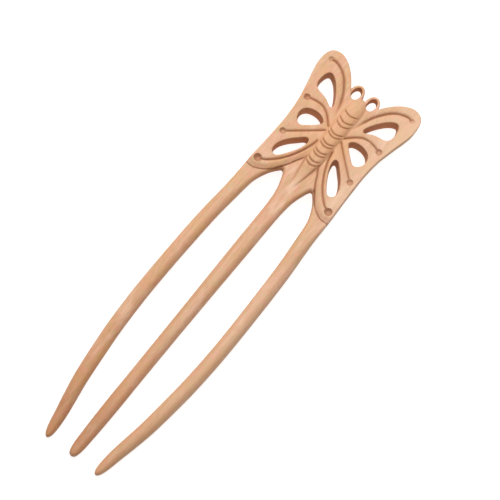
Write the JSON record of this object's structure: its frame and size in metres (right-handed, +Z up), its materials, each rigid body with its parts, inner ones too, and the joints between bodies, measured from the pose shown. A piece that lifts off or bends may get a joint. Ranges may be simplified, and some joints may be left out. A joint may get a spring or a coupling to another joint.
{
  "type": "hair fork",
  "caption": "Carved wooden hair fork: long tapering prongs, gently arched, under a pierced butterfly head with ringed body, veined wings and antenna loops.",
  "frame": {"origin": "centre of the base of the bounding box, on the surface the fork lies on", "axes": "+X across the wings, +Y from the prong tips to the wing tops, +Z up from the surface to the carved face"},
  "size_m": [0.0404, 0.1662, 0.008],
  "materials": {
    "peach_wood": "satin, hand-sanded and lightly oiled"
  },
  "bodies": {
    "root": {"hair_fork": "peach_wood"}
  },
  "joints": []
}
